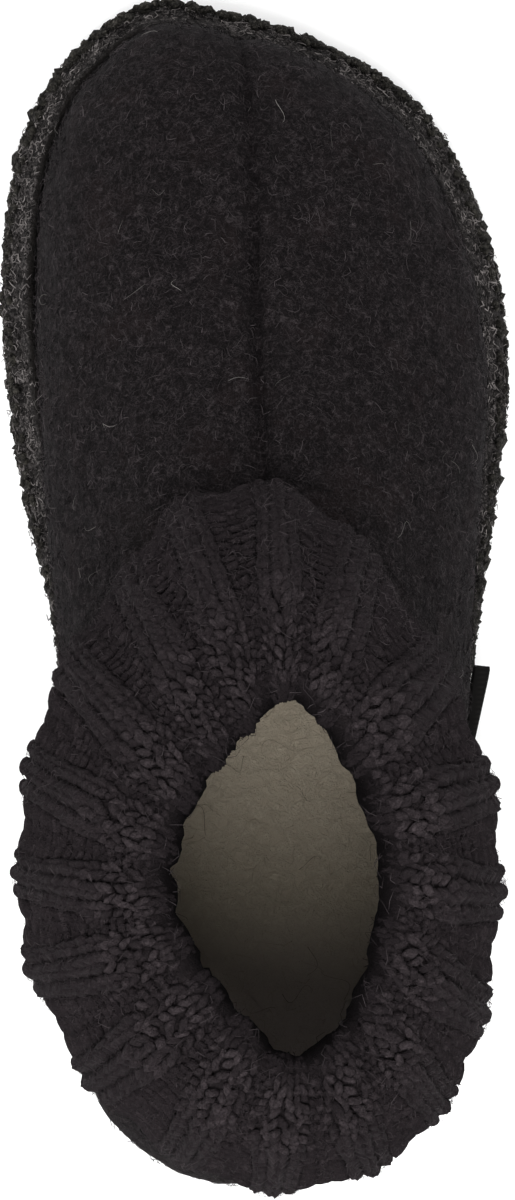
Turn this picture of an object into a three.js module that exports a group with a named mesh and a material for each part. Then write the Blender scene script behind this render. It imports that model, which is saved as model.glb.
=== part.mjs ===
// A right-foot slipper boot: felted wool upper, looped-wool sole band and a wide-rib knit cuff folded down.
// Millimetres, +Z up, +Y to the toe, +X to the outer side of the foot.

import * as THREE from "three";

// Sole, worked out from its length and the width across the ball
const SOLE_LENGTH = 180;
const BALL_WIDTH = 78.6;
const HEEL_END = -88;
const SOLE_THICK = 5;
const TOE_SPRING = 4;
const SPRING_FROM = 57;
const ARCH_LIFT = 1.2;
const ARCH_FROM = -42;
const ARCH_TO = 8;

// Upper and insole
const GAP = 0.3;
const BAND_ROOM = 5.2;
const BAND_HEIGHT = 8.4;
const WALL = 2.5;
const INSOLE_THICK = 3.4;
const INSOLE_PLAY = 0.5;

// Collar of the upper, an oval that rises to the front
const COLLAR_LENGTH = 81;
const COLLAR_WIDTH = 50;
const COLLAR_X = 1.5;
const COLLAR_Y = -37.5;
const COLLAR_BACK_HEIGHT = 60;
const COLLAR_FRONT_HEIGHT = 64.5;

// Shoulder of each upper section, as shares of its run from the collar out to the sole's edge
const SHOULDER_ACROSS = 0.3;
const SHOULDER_ALONG = 0.6;
const SHOULDER_DROP = 22;

// Seam down the middle of the vamp, a soft trough
const SEAM_DEPTH = 1;
const SEAM_HALF = 1.6;
const SEAM_FADE = 0.2;

// Cuff: knit folded outwards, with ribs standing proud all round
const RIB_RELIEF = 0.9;
const KNIT_THICK = 2.6;
const FOLD_HEIGHT = 95;
const FOLD_RADIUS = 2.2;
const EDGE_BACK_HEIGHT = 53.5;
const EDGE_FRONT_HEIGHT = 62;
const LEAF_CROWN = 0.55;
const LEAF_HANG = 0.5;

// Side tab, a woven loop
const TAB_LENGTH = 14;
const TAB_REACH = 3.4;
const TAB_THICK = 1.3;
const TAB_LEVEL = 0.13;
const TAB_PLACE = 4.15;
const TAB_STANDOFF = 0.5;

// A row for each section of the foot, from the heel round by the outer side.
// along and side: the sole's edge, as shares of its length from the heel and of half the ball width.
// turn: where the section meets the collar, in degrees from the back.
// bulge and rise: how far the wall leans out over the band, and how steeply it climbs.
const FOOT = [
  { along: 0, side: 0.02, turn: 0, bulge: 12, rise: 22 },
  { along: 0.031, side: 0.465, turn: 27, bulge: 12, rise: 22 },
  { along: 0.12, side: 0.72, turn: 52, bulge: 11, rise: 22 },
  { along: 0.24, side: 0.785, turn: 77, bulge: 10, rise: 22 },
  { along: 0.376, side: 0.82, turn: 100, bulge: 10, rise: 22 },
  { along: 0.522, side: 0.91, turn: 122, bulge: 9, rise: 21 },
  { along: 0.677, side: 0.99, turn: 140, bulge: 9, rise: 20 },
  { along: 0.8, side: 0.915, turn: 153, bulge: 8, rise: 22 },
  { along: 0.907, side: 0.665, turn: 164, bulge: 8, rise: 25 },
  { along: 0.962, side: 0.303, turn: 172, bulge: 8, rise: 28 },
  { along: 0.991, side: -0.076, turn: 180, bulge: 8, rise: 30 },
  { along: 1, side: -0.433, turn: 188, bulge: 6, rise: 29 },
  { along: 0.952, side: -0.755, turn: 197, bulge: 3, rise: 26 },
  { along: 0.87, side: -0.95, turn: 207, bulge: 1, rise: 23 },
  { along: 0.75, side: -1.01, turn: 219, bulge: 0, rise: 20 },
  { along: 0.6, side: -0.945, turn: 236, bulge: 4, rise: 20 },
  { along: 0.455, side: -0.8, turn: 258, bulge: 9, rise: 21 },
  { along: 0.32, side: -0.765, turn: 281, bulge: 10, rise: 22 },
  { along: 0.188, side: -0.745, turn: 305, bulge: 11, rise: 22 },
  { along: 0.075, side: -0.625, turn: 329, bulge: 15, rise: 22 },
  { along: 0.0135, side: -0.325, turn: 345, bulge: 14, rise: 22 },
];
const SEAM_ROW = 10;
const STEPS_PER_ROW = 4;
const SEAM_STEPS = [-0.36, -0.12, 0.12, 0.36];
const LEVELS = [0, 0.08, 0.16, 0.25, 0.34, 0.43, 0.53, 0.63, 0.74, 0.87, 1];
const LINING_LEVELS = [1, 0.85, 0.7, 0.56, 0.43, 0.3, 0.18, 0.07];

// A row for each rib of the cuff, from the back by the outer side: where it meets the collar, in degrees
// from the back, its place on the mouth at the fold, and its place on the lower edge of the turned-down leaf.
const CUFF = [
  { turn: 0, mouthX: 4.6, mouthY: -63.9, edgeX: 2.1, edgeY: -86 },
  { turn: 21, mouthX: 10.5, mouthY: -61.1, edgeX: 16.8, edgeY: -83 },
  { turn: 44, mouthX: 14.4, mouthY: -54.7, edgeX: 27.2, edgeY: -73.9 },
  { turn: 67, mouthX: 16.5, mouthY: -46.6, edgeX: 32.9, edgeY: -60.3 },
  { turn: 89, mouthX: 17.4, mouthY: -38.3, edgeX: 35, edgeY: -42.5 },
  { turn: 112, mouthX: 15.3, mouthY: -30.4, edgeX: 33.8, edgeY: -26.9 },
  { turn: 135, mouthX: 12, mouthY: -23, edgeX: 26.8, edgeY: -9.1 },
  { turn: 157, mouthX: 8.1, mouthY: -17.2, edgeX: 15, edgeY: 7.9 },
  { turn: 180, mouthX: 3.9, mouthY: -14.7, edgeX: 2.8, edgeY: 16.1 },
  { turn: 200, mouthX: -0.3, mouthY: -18.4, edgeX: -11.2, edgeY: 13.7 },
  { turn: 220, mouthX: -4.5, mouthY: -23.2, edgeX: -19, edgeY: 3.9 },
  { turn: 240, mouthX: -8.3, mouthY: -28.4, edgeX: -27.8, edgeY: -8.5 },
  { turn: 259, mouthX: -11.2, mouthY: -35.3, edgeX: -33.2, edgeY: -24.6 },
  { turn: 279, mouthX: -11.6, mouthY: -41.9, edgeX: -34.7, edgeY: -39.9 },
  { turn: 299, mouthX: -9.1, mouthY: -47.7, edgeX: -32.9, edgeY: -54 },
  { turn: 319, mouthX: -5.5, mouthY: -53.5, edgeX: -24.3, edgeY: -70.4 },
  { turn: 339, mouthX: -0.8, mouthY: -59.2, edgeX: -11.4, edgeY: -81.4 },
];
const STEPS_PER_RIB = 6;
const RIB_FULL_STEP = 4;
const LEAF_STEPS = [0.2, 0.4, 0.6, 0.8, 1];

// Side of the sole, from its underside up: out from the edge, and up from the floor
const SOLE_SIDE = [
  { out: -2.6, up: 0 },
  { out: -0.8, up: 0.7 },
  { out: 0, up: 2.4 },
  { out: -0.4, up: 4.2 },
  { out: -1.4, up: SOLE_THICK },
];

// Section of the band: out from the upper's wall, and up from the sole; the bead is near the top
const BAND_SIDE = [
  { out: GAP, up: 0 },
  { out: 4.4, up: 0 },
  { out: 4.9, up: 2.2 },
  { out: 4.4, up: 4.6 },
  { out: 3.1, up: 6.5 },
  { out: 2.6, up: 7.6 },
  { out: 1.9, up: BAND_HEIGHT },
  { out: 0.9, up: 8.2 },
  { out: GAP, up: 7.2 },
];

// Side of the insole: in from the lining, and up from the sole
const INSOLE_SIDE = [
  { out: -0.8, up: 0 },
  { out: 0, up: 0.8 },
  { out: 0, up: INSOLE_THICK - 1 },
  { out: -1.2, up: INSOLE_THICK },
];

const UP = new THREE.Vector3(0, 0, 1);

function closedCurve(points) {
  return new THREE.CatmullRomCurve3(points, true, "catmullrom", 0.5);
}

// Lift of the sole off the floor: toe spring in front, and an arch under the inner side.
function lift(x, y) {
  const toe = HEEL_END + SOLE_LENGTH;
  const spring = THREE.MathUtils.clamp((y - SPRING_FROM) / (toe - SPRING_FROM), 0, 1);
  const arch = THREE.MathUtils.clamp((y - ARCH_FROM) / (ARCH_TO - ARCH_FROM), 0, 1);
  const inner = THREE.MathUtils.clamp(0.5 - x / BALL_WIDTH, 0, 1);
  return TOE_SPRING * spring ** 2 + ARCH_LIFT * inner * Math.sin(Math.PI * arch) ** 2;
}

function collarPoint(degrees) {
  const turn = THREE.MathUtils.degToRad(degrees);
  const front = (1 - Math.cos(turn)) / 2;
  return new THREE.Vector3(
    COLLAR_X + (COLLAR_WIDTH / 2) * Math.sin(turn),
    COLLAR_Y - (COLLAR_LENGTH / 2) * Math.cos(turn),
    THREE.MathUtils.lerp(COLLAR_BACK_HEIGHT, COLLAR_FRONT_HEIGHT, front),
  );
}

const edgeCurve = closedCurve(
  FOOT.map(
    (row) =>
      new THREE.Vector3((row.side * BALL_WIDTH) / 2, HEEL_END + row.along * SOLE_LENGTH, 0),
  ),
);
const collarCurve = closedCurve(FOOT.map((row) => collarPoint(row.turn)));
const formCurve = closedCurve(FOOT.map((row) => new THREE.Vector3(row.bulge, row.rise, 0)));

function edgeNormal(place) {
  return edgeCurve.getTangent(place).cross(UP).normalize();
}

// The sole's edge moved out along its own normal.
function edgeOut(place, out) {
  return edgeCurve.getPoint(place).addScaledVector(edgeNormal(place), out);
}

// Where the upper stands on the sole, or a point beside that at a height above the sole.
function besideUpper(place, out, up) {
  const point = edgeOut(place, out - BAND_ROOM);
  return point.setZ(SOLE_THICK + GAP + up + lift(point.x, point.y));
}

// Outer surface of the upper above the band: a curve that swells out, then over the shoulder to the collar.
function upperSection(place) {
  const form = formCurve.getPoint(place);
  const foot = besideUpper(place, 0, BAND_HEIGHT);
  const collar = collarCurve.getPoint(place);
  const wall = foot.clone().addScaledVector(edgeNormal(place), form.x);
  wall.z += form.y;
  const shoulder = new THREE.Vector3(
    THREE.MathUtils.lerp(collar.x, foot.x, SHOULDER_ACROSS),
    THREE.MathUtils.lerp(collar.y, foot.y, SHOULDER_ALONG),
    collar.z - SHOULDER_DROP,
  );
  return new THREE.CubicBezierCurve3(foot, wall, shoulder, collar);
}

function upperNormal(place, level) {
  const step = 0.002;
  const along = upperSection(place + step)
    .getPoint(level)
    .sub(upperSection(place - step).getPoint(level));
  const climb = upperSection(place).getTangent(level);
  const normal = along.cross(climb).normalize();
  const rim = level === 0 || level === 1;
  return rim ? normal.setZ(0).normalize() : normal;
}

// Depth of the seam trough at a point of the vamp.
function seamDepth(point) {
  const seam = SEAM_ROW / FOOT.length;
  const toe = edgeCurve.getPoint(seam);
  const throat = collarCurve.getPoint(seam);
  const share = (point.y - throat.y) / (toe.y - throat.y);
  const aside = (point.x - THREE.MathUtils.lerp(throat.x, toe.x, share)) / SEAM_HALF;
  return SEAM_DEPTH * THREE.MathUtils.smoothstep(share, 0, SEAM_FADE) * Math.exp(-aside * aside);
}

function upperPoint(place, level, depth) {
  const point = upperSection(place).getPoint(level);
  const trough = depth === 0 ? seamDepth(point) : 0;
  return point.addScaledVector(upperNormal(place, level), -depth - trough);
}

// Faces across the inside of a ring, from the heel to the toe, strip by strip.
function capFaces(ring, start) {
  const heel = ring.reduce((low, point, i) => (point.y < ring[low].y ? i : low), 0);
  const toe = ring.reduce((high, point, i) => (point.y > ring[high].y ? i : high), 0);
  const count = ring.length;
  const chain = (step) => {
    const list = [heel];
    while (list.at(-1) !== toe) list.push((list.at(-1) + step + count) % count);
    return list;
  };
  const outer = chain(1);
  const inner = chain(-1);
  const faces = [];
  let i = 0;
  let j = 0;
  while (i < outer.length - 1 || j < inner.length - 1) {
    const nextOuter = i < outer.length - 1 ? ring[outer[i + 1]].y : Infinity;
    const nextInner = j < inner.length - 1 ? ring[inner[j + 1]].y : Infinity;
    const takeOuter = nextOuter <= nextInner;
    const next = takeOuter ? outer[i + 1] : inner[j + 1];
    const face = [outer[i], next, inner[j]];
    if (new Set(face).size === 3) faces.push(face.map((k) => start + k));
    if (takeOuter) i += 1;
    else j += 1;
  }
  return faces;
}

// A closed solid through rings of points: joined end to end, or capped at the first and last ring.
function solidThrough(rings, joined) {
  const count = rings[0].length;
  const faces = [];
  const bands = joined ? rings.length : rings.length - 1;
  for (let r = 0; r < bands; r += 1) {
    for (let i = 0; i < count; i += 1) {
      const a = r * count + i;
      const b = r * count + ((i + 1) % count);
      const c = ((r + 1) % rings.length) * count + i;
      const d = ((r + 1) % rings.length) * count + ((i + 1) % count);
      faces.push([a, b, d], [a, d, c]);
    }
  }
  if (!joined) {
    const last = rings.length - 1;
    faces.push(...capFaces(rings[0], 0).map((face) => face.reverse()));
    faces.push(...capFaces(rings[last], last * count));
  }
  const points = rings.flat();
  const volume = faces.reduce(
    (sum, [a, b, c]) => sum + points[a].dot(points[b].clone().cross(points[c])),
    0,
  );
  if (volume < 0) faces.forEach((face) => face.reverse());
  const geometry = new THREE.BufferGeometry().setFromPoints(points);
  geometry.setIndex(faces.flat());
  geometry.computeVertexNormals();
  return geometry;
}

const places = [];
FOOT.forEach((row, i) => {
  for (let step = 0; step < STEPS_PER_ROW; step += 1) {
    places.push((i + step / STEPS_PER_ROW) / FOOT.length);
  }
});
places.push(...SEAM_STEPS.map((step) => (SEAM_ROW + step) / FOOT.length));
places.sort((a, b) => a - b);

function outsoleGeometry() {
  const rings = SOLE_SIDE.map(({ out, up }) =>
    places.map((place) => {
      const point = edgeOut(place, out);
      return point.setZ(up + lift(point.x, point.y));
    }),
  );
  return solidThrough(rings, false);
}

function bandGeometry() {
  const rings = BAND_SIDE.map(({ out, up }) => places.map((place) => besideUpper(place, out, up)));
  return solidThrough(rings, true);
}

function upperGeometry() {
  const rings = [
    places.map((place) => besideUpper(place, 0, 0)),
    ...LEVELS.map((level) => places.map((place) => upperPoint(place, level, 0))),
    ...LINING_LEVELS.map((level) => places.map((place) => upperPoint(place, level, WALL))),
    places.map((place) => besideUpper(place, -WALL, BAND_HEIGHT)),
    places.map((place) => besideUpper(place, -WALL, 0)),
  ];
  return solidThrough(rings, true);
}

function insoleGeometry() {
  const inset = WALL + INSOLE_PLAY;
  const rings = INSOLE_SIDE.map(({ out, up }) =>
    places.map((place) => besideUpper(place, out - inset, up)),
  );
  return solidThrough(rings, false);
}

const seatCurve = closedCurve(CUFF.map((row) => collarPoint(row.turn)));
const mouthCurve = closedCurve(CUFF.map((row) => new THREE.Vector3(row.mouthX, row.mouthY, 0)));
const leafCurve = closedCurve(CUFF.map((row) => new THREE.Vector3(row.edgeX, row.edgeY, 0)));

// Middle line of the knit in one direction: up from the collar, over the fold and down the leaf.
function cuffPath(place) {
  const half = KNIT_THICK / 2;
  const mouth = mouthCurve.getPoint(place);
  const edge = leafCurve.getPoint(place);
  const outward = edge.clone().sub(mouth).normalize();
  const collar = seatCurve.getPoint(place);
  const inward = new THREE.Vector3(COLLAR_X - collar.x, COLLAR_Y - collar.y, 0).normalize();
  const seat = collar.clone().addScaledVector(inward, WALL / 2);
  seat.z += GAP;
  const at = (out, height) => mouth.clone().addScaledVector(outward, out).setZ(height);
  const spread = edge.distanceTo(mouth) - half;
  const crest = FOLD_HEIGHT - half;
  const neck = at(half, crest - FOLD_RADIUS);
  const front = (collar.z - COLLAR_BACK_HEIGHT) / (COLLAR_FRONT_HEIGHT - COLLAR_BACK_HEIGHT);
  const low = THREE.MathUtils.lerp(EDGE_BACK_HEIGHT, EDGE_FRONT_HEIGHT, front ** 2);
  const top = half + FOLD_RADIUS;
  const leaf = new THREE.CubicBezierCurve3(
    at(top, crest),
    at(top + (spread - top) * LEAF_CROWN, crest),
    at(spread, THREE.MathUtils.lerp(low, crest, LEAF_HANG)),
    at(spread, low),
  );
  const path = [
    seat,
    seat.clone().lerp(neck, 0.5),
    neck,
    leaf.getPoint(0),
    ...LEAF_STEPS.map((step) => leaf.getPoint(step)),
  ];
  return { path, outward };
}

// The knit's section in one direction: its inner side and back along its outer side.
function cuffSection(place) {
  const { path, outward } = cuffPath(place);
  const rib = RIB_RELIEF * Math.cos(2 * Math.PI * CUFF.length * place);
  const last = path.length - 1;
  const sides = path.map((point, k) => {
    const ahead = path[Math.min(k + 1, last)].clone().sub(path[Math.max(k - 1, 0)]);
    const across = new THREE.Vector2(ahead.dot(outward), ahead.z).normalize();
    const normal = outward.clone().multiplyScalar(-across.y).setZ(across.x);
    if (k === 0) normal.setZ(0).normalize();
    const relief = rib * Math.min(1, k / RIB_FULL_STEP);
    return [-1, 1].map((side) =>
      point.clone().addScaledVector(normal, relief + (side * KNIT_THICK) / 2),
    );
  });
  return [...sides.map((pair) => pair[0]), ...sides.map((pair) => pair[1]).reverse()];
}

function cuffGeometry() {
  const columns = CUFF.length * STEPS_PER_RIB;
  const sections = Array.from({ length: columns }, (_, i) => cuffSection(i / columns));
  return solidThrough(sections, true);
}

function tabGeometry() {
  const half = TAB_THICK / 2;
  const loop = new THREE.Shape();
  loop.moveTo(0, -half);
  loop.lineTo(TAB_REACH - half, -half);
  loop.absarc(TAB_REACH - half, 0, half, -Math.PI / 2, Math.PI / 2, false);
  loop.lineTo(0, half);
  loop.closePath();
  return new THREE.ExtrudeGeometry(loop, {
    depth: TAB_LENGTH,
    bevelEnabled: false,
    curveSegments: 6,
  }).translate(0, 0, -TAB_LENGTH / 2);
}

function piece(name, geometry, color, roughness) {
  const material = new THREE.MeshStandardMaterial({ color, roughness, metalness: 0 });
  const mesh = new THREE.Mesh(geometry, material);
  mesh.name = name;
  return mesh;
}

const pieces = new THREE.Group();
pieces.add(piece("outsole", outsoleGeometry(), 0x1b1a16, 0.85));
pieces.add(piece("sole_band", bandGeometry(), 0x2a2726, 0.95));
pieces.add(piece("upper", upperGeometry(), 0x211e1f, 0.95));
pieces.add(piece("cuff", cuffGeometry(), 0x262324, 0.9));
pieces.add(piece("insole", insoleGeometry(), 0x9b968c, 0.95));

const tab = piece("side_tab", tabGeometry(), 0x16161a, 0.7);
const tabPlace = TAB_PLACE / FOOT.length;
const tabOut = upperNormal(tabPlace, TAB_LEVEL);
const tabAlong = edgeCurve.getTangent(tabPlace);
tab.position.copy(upperPoint(tabPlace, TAB_LEVEL, 0)).addScaledVector(tabOut, TAB_STANDOFF);
tab.setRotationFromMatrix(
  new THREE.Matrix4().makeBasis(tabOut, tabAlong.clone().cross(tabOut), tabAlong),
);
pieces.add(tab);

// The origin is under the middle of the slipper, on the floor.
const box = new THREE.Box3().setFromObject(pieces);
const middle = box.getCenter(new THREE.Vector3());
pieces.position.set(-middle.x, -middle.y, -box.min.z);

const slipper = new THREE.Group();
slipper.add(pieces);

export default slipper;
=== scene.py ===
from math import pi

import bmesh
import bpy
import numpy as np
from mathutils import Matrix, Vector, noise
from mathutils.bvhtree import BVHTree
from mathutils.kdtree import KDTree


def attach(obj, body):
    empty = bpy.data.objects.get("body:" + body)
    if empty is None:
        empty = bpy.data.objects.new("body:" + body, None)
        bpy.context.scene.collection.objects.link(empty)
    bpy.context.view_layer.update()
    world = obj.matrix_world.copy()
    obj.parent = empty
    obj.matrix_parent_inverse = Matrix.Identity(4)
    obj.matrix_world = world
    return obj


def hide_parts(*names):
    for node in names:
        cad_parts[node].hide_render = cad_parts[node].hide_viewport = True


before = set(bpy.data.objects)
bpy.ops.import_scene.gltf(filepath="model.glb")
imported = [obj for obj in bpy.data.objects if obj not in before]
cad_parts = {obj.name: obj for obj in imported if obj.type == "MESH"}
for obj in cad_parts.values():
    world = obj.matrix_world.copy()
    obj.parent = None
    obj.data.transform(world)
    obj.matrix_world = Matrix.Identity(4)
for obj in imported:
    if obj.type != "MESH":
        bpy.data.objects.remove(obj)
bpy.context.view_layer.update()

MM = 0.001
MERGE = 0.01 * MM
ROW_SLACK = 0.5 * MM
CLEAR_START = 0.6 * MM
RANDOM = np.random.default_rng(27)

# A direction along which no two corners of a piece share their place
SKEW = (0.31, 0.17, 0.93)

# Where the photograph was taken from: straight above, a metre over the floor
CAMERA_PLACE = (0.393 * MM, -2.121 * MM, 1.0)
CAMERA_LENS = 193.5
CAMERA_SENSOR = 36.0
CAMERA_NEAREST = 0.05

# Soft lights by name: place, target, breadth and power
LIGHTS = {
    "overhead": ((-0.03, -0.56, 1.7), (0.0, 0.0, 0.02), 0.85, 26.0),
    "heel_side": ((-0.9, -0.7, 0.75), (0.0, -0.02, 0.04), 0.8, 3.6),
    "toe_side": ((0.7, 0.8, 0.9), (0.0, 0.02, 0.04), 0.9, 2.2),
}
SKY_STRENGTH = 1.16
FLOOR_HALF = 3.0

# Lumps of each soft surface, as pairs of noise scale and height
FELT_LUMPS = ((95, 0.42 * MM), (310, 0.26 * MM), (800, 0.12 * MM))
BACKING_LUMPS = ((500, 0.12 * MM),)
MOUTH_LUMPS = ((330, 0.5 * MM), (620, 0.45 * MM))
BAND_LUMPS = ((330, 0.3 * MM), (900, 0.2 * MM))
TREAD_PEBBLES = ((420, 0.3 * MM), (900, 0.15 * MM))
INSOLE_LUMPS = ((140, 0.2 * MM), (600, 0.1 * MM))

# How hairs vary, as shares of their measures
HAIR_SPREAD = 0.6
HAIR_LENGTHS = (0.5, 1.5)
HAIR_RISES = (0.3, 1.4)
HAIR_ARCS = (0.6, 1.2)
HAIR_SWAY = 0.28
HAIR_GIRTHS = (0.7, 1.3)
HAIR_TIP = 0.35
HAIR_SIDES = 3

# Hairs of each kind
FELT_NAP = dict(
    count=6500, length=1.5 * MM, rise=0.45 * MM, radius=0.062 * MM, waves=(0.6, 2.0), pale=2.5
)
STRAY = dict(
    count=180, length=2.8 * MM, rise=1.0 * MM, radius=0.038 * MM, waves=(0.6, 2.0), pale=1.3, steps=8
)
FUZZ = dict(
    count=12000, length=2.2 * MM, rise=0.9 * MM, radius=0.05 * MM, waves=(0.8, 1.8), pale=1.5, steps=3
)
LOOPS = dict(
    count=3800, length=1.3 * MM, rise=0.4 * MM, radius=0.11 * MM, waves=(1.6, 3.4), pale=2.0, steps=5
)
INSOLE_NAP = dict(
    count=1600, length=2.4 * MM, rise=0.25 * MM, radius=0.05 * MM, waves=(0.6, 2.2)
)
INSOLE_HAIRS = dict(
    count=60, length=4.5 * MM, rise=0.4 * MM, radius=0.04 * MM, waves=(1.0, 2.6), steps=14
)

# Felt of the upper: the seam down the vamp, and how the felt tucks in above the band
SEAM_DEPTH = 1.0 * MM
SEAM_HALF = 0.65 * MM
SEAM_BARE = 0.1 * MM
SEAM_END = 3 * MM
SEAM_FACING = -0.2
SEAM_START = (14 * MM, 32 * MM)
SEAM_START_SHARE = 0.4
SEAM_FADE = (70 * MM, 86 * MM)
SEAM_FADE_SHARE = 0.7
SEAM_RIDGE = 0.4 * MM
SEAM_RIDGE_AT = 2.7 * MM
SEAM_RIDGE_HALF = 1.3 * MM
SEAM_PUCKER = 3.4 * MM
SEAM_PUCKER_BEAT = 700
SEAM_PUCKER_SHARE = 0.35
SEAM_SHIFT = 0.7 * MM
SEAM_SHIFT_FROM = (43 * MM, 60 * MM)
FELT_TUCK = 0.7 * MM
FELT_TUCK_HEIGHTS = (16 * MM, 30 * MM)
OUTER_TUCK = 1.0 * MM
OUTER_TUCK_HEIGHTS = (22 * MM, 40 * MM)
OUTER_TUCK_ACROSS = (8 * MM, 28 * MM)
OUTER_TUCK_ALONG = (-25 * MM, 5 * MM)
FELT_ROOM = 60 * MM
NAP_LOWEST = 12 * MM
NAP_FRONT = -25 * MM
NAP_ON_TOP = 0.9
NAP_ON_SIDES = 1.0
NAP_AT_BACK = 0.55

# Knit of the cuff: each rib is three knit and three purl wales, which draw in behind them at the mouth
WALES_PER_RIB = 6
WALE_STEPS = (-1, 0, 1)
KNIT_SPREAD = (1.12, 1.7)
SPREAD_ROWS = (1.5, 4.2)
COURSES = 40
COURSES_END = 0.78
COURSE = 1.7 * MM
COURSE_SAMPLES = 120
STITCH_LEVEL = -0.75 * MM
STITCH_SIDES = 4

# Knit stitches: pairs are a measure on the leaf and what the fold adds to it
LEG_OUT = (0.13, 0.12)
LEG_SLOPE = (0.05, 0.35)
LEG_LEAN = (0.02, 0.1)
LEG_LENGTH = (1.5, -0.35)
LEG_SLIP = (0.12 * MM, 0.1 * MM)
LEG_CROWN = (0.32, 0.12)
LEG_ROUGH = (0.09 * MM, 0.1 * MM)
LEG_GIRTH = (0.37, -0.14)
LEG_UNEVEN = 0.12
LEG_WAVER = 0.07 * MM
LEAF_LEG = np.array([0.7, 0.96, 1.0, 0.96, 0.7])
FOLD_LEG = np.array([0.5, 0.9, 1.0, 0.88, 0.45])

# Tones of the stitches, in the same pairs: the fold adds painted light on its top, and painted shade
# darkens each stitch's ends and the stitches down inside the mouth
TONE_PLAIN_AND_FOLD_LIGHT = (0.19, 0.1)
PAINTED_SHADE_AT_ENDS = (0.1, 0.6)
PAINTED_SHADE_INSIDE = 0.9
PAINTED_LIGHT_ON_FOLD = 0.88
TONE_RARITY = 1.8
TONE_UNEVEN = 0.3
TONE_LIMITS = (0.3, 2.0)

# Purl stitches, and the loops along the leaf's edge: breadths are means with their spread
PURL_BREADTH = (1.4, 0.08)
PURL_ARCH = (0.15, 1.2)
PURL_SLIP = 0.22 * MM
PURL_SLANT = 0.5 * MM
PURL_CROWN = 0.15 * MM
PURL_ROUGH = 0.16 * MM
PURL_RADIUS = 0.8 * MM
PURL_BAR = np.array([0.85, 1.0, 1.0, 0.85])
PURL_GIRTHS = (0.75, 1.15)
# Painted shade on the purl bars over the fold, so that they recede between the knit
PURL_FOLD_SHADE = 0.5
PURL_TONES = (0.5, 1.6)
EDGE_LOOP = 0.82 * MM
EDGE_LOOP_ROW = (0.12, 0.03)
EDGE_LOOP_RISE = 0.5 * MM
EDGE_LOOP_CROWN = 0.3 * MM
EDGE_LOOP_BREADTH = (0.6, 0.08)
EDGE_LOOP_SLANT = 0.5 * MM
EDGE_LOOP_SHAPE = np.array([0.45, 0.85, 1.0, 1.0, 0.85, 0.45])
EDGE_LOOP_GIRTHS = (0.8, 1.2)
EDGE_LOOP_SIDES = 6

# Zones of the cuff, in rows up its leaf, over the fold and down into the mouth
LEAF_ROWS = (2.0, 3.6)
LEAF_KNIT_SINK = 0.2 * MM
LEAF_PURL_RISE = 0.45 * MM
FOLD_ROW = 4.35
FOLD_ROWS = 0.85
FOLD_BACK_ROWS = 0.5
FOLD_BACK = (-80 * MM, -50 * MM)
MOUTH_ROWS = (4.75, 5.3)
MOUTH_SINK = 0.8 * MM
MOUTH_RISE = 1.4 * MM
BACKING_SINK = 0.1 * MM
BACKING_HEIGHTS = (80 * MM, 90 * MM)
BACKING_NEIGHBOURS = 4
FUZZ_LIP = 87 * MM
FUZZ_FACING = -0.15
FUZZ_FRONT = (-15 * MM, 10 * MM)
FUZZ_AT_BACK = 0.6
FUZZ_MORE_IN_FRONT = 2.4
FUZZ_LESS_ON_LIP = 0.85
FUZZ_ROOM = 12 * MM

# Band round the sole, its lean in against the felt, and the painted shade of the groove between them
BAND_LIFT = 5.3 * MM
BAND_LEVEL = -0.2 * MM
BAND_TOP = (8 * MM, 12 * MM)
BAND_LEAN = 1.1 * MM
BAND_GROOVE_SHADE = (0.9 * MM, 2.2 * MM)
BAND_SPINE = (-60 * MM, 50 * MM)
LOOP_ROOM = 8 * MM
LOOP_FACING = 0.1

# Edge of the sole: steps out from the band's widest ring and up from the underside, in mm
EDGE_SIDE = ((-0.7, 0.7), (0.2, 2.4), (-0.2, 4.2))

# Rings of knobs: row, pitch and size
EDGE_RINGS = ((0.3, 2.9 * MM, 1.0 * MM), (1.2, 2.5 * MM, 1.15 * MM), (1.9, 2.3 * MM, 1.05 * MM))
BAND_RINGS = ((0.7, 2.4 * MM, 0.95 * MM), (1.5, 2.3 * MM, 0.85 * MM), (2.2, 2.4 * MM, 0.7 * MM))
KNOB_SHAPE = np.array([0.35, 0.8, 1.0, 1.0, 0.8, 0.35])
KNOB_STRAY = 0.3
KNOB_ROW_STRAY = 0.12
KNOB_SIZES = (0.55, 1.25)
KNOB_SUNK = (0.7, 1.0)
KNOB_SLANT = 0.5
KNOB_LENGTH = 2.5
KNOB_WAVER = 0.16
KNOB_GIRTHS = (0.75, 1.15)
KNOB_SIDES = 5

# Underside of the outsole, and how far the rest of it lies under the knobs
TREAD_FACING = -0.5
TREAD_PITS = 1.4
TREAD_LEVEL = -0.05 * MM
SOLE_SIDE_LEVEL = -0.5 * MM

# Sizes of the squares that outsole and insole are remeshed to
OUTSOLE_SQUARE = 1.3 * MM
INSOLE_SQUARE = 1.4 * MM

# Which way the insole's hairy face looks, and where painted light makes it paler and greyer towards the
# shaded heel
INSOLE_FACING = 0.7
INSOLE_HEEL_LIGHT = (-72 * MM, -45 * MM)

# Side tab: how much less it stands out at its heel end, its ribbon's share of its thickness, and its fold
TAB_SLANT = 0.5
TAB_LAYER = 0.3
TAB_FOLD = ((-0.5, -0.5), (0.1, -0.5), (0.38, -0.42), (0.5, 0.0), (0.38, 0.42), (0.1, 0.5), (-0.5, 0.5))


class Value:
    """A socket among a finish's nodes; sums on it add Math nodes."""

    def __init__(self, finish, socket):
        self.finish = finish
        self.socket = socket

    def sum(self, operation, first, second):
        return self.finish.node("ShaderNodeMath", {"operation": operation}, {0: first, 1: second})

    def __add__(self, other):
        return self.sum("ADD", self, other)

    __radd__ = __add__

    def __sub__(self, other):
        return self.sum("SUBTRACT", self, other)

    def __rsub__(self, other):
        return self.sum("SUBTRACT", other, self)

    def __mul__(self, other):
        return self.sum("MULTIPLY", self, other)

    __rmul__ = __mul__


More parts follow.
